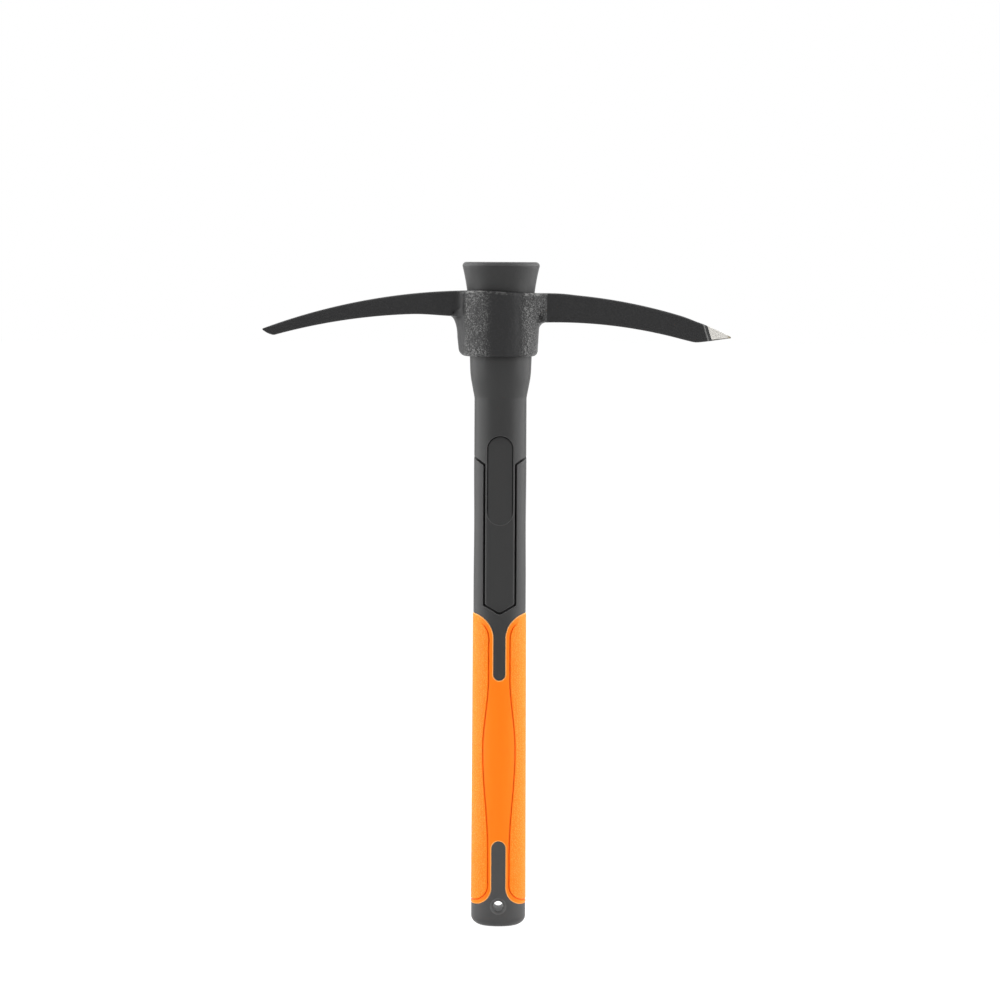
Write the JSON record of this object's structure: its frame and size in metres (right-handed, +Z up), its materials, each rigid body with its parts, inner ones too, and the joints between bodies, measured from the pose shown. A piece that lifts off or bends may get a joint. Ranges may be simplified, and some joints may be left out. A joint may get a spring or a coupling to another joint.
{
  "type": "hand pick",
  "caption": "Short hand pick: forged head with a chisel end and a ground point, slid onto an oval moulded handle with a soft grip and a hang hole.",
  "frame": {"origin": "centre of the flat butt end, on the handle axis", "axes": "+Z up along the handle towards the head, +X along the head towards the point, -X towards the chisel end, -Y towards the viewer of the picture"},
  "size_m": [0.2803, 0.041, 0.4],
  "materials": {
    "head_lacquer": "rough black lacquer on forged steel, bare ground steel at the point",
    "core_rod": "pultruded glass fibre in resin",
    "neck_plastic": "fine matt grey moulding",
    "sleeve_plastic": "fine matt grey moulding",
    "grip_rubber": "soft orange rubber, smooth strip and stippled sides"
  },
  "bodies": {
    "handle": {"fibreglass_core": "core_rod", "neck_moulding": "neck_plastic", "handle_sleeve": "sleeve_plastic", "grip": "grip_rubber"},
    "head": {"pick_head": "head_lacquer"}
  },
  "joints": [
    {"name": "head_slide", "type": "slide", "parent": "handle", "child": "head", "axis": [0, 0, -1], "range_m": [0, 0.34]}
  ]
}
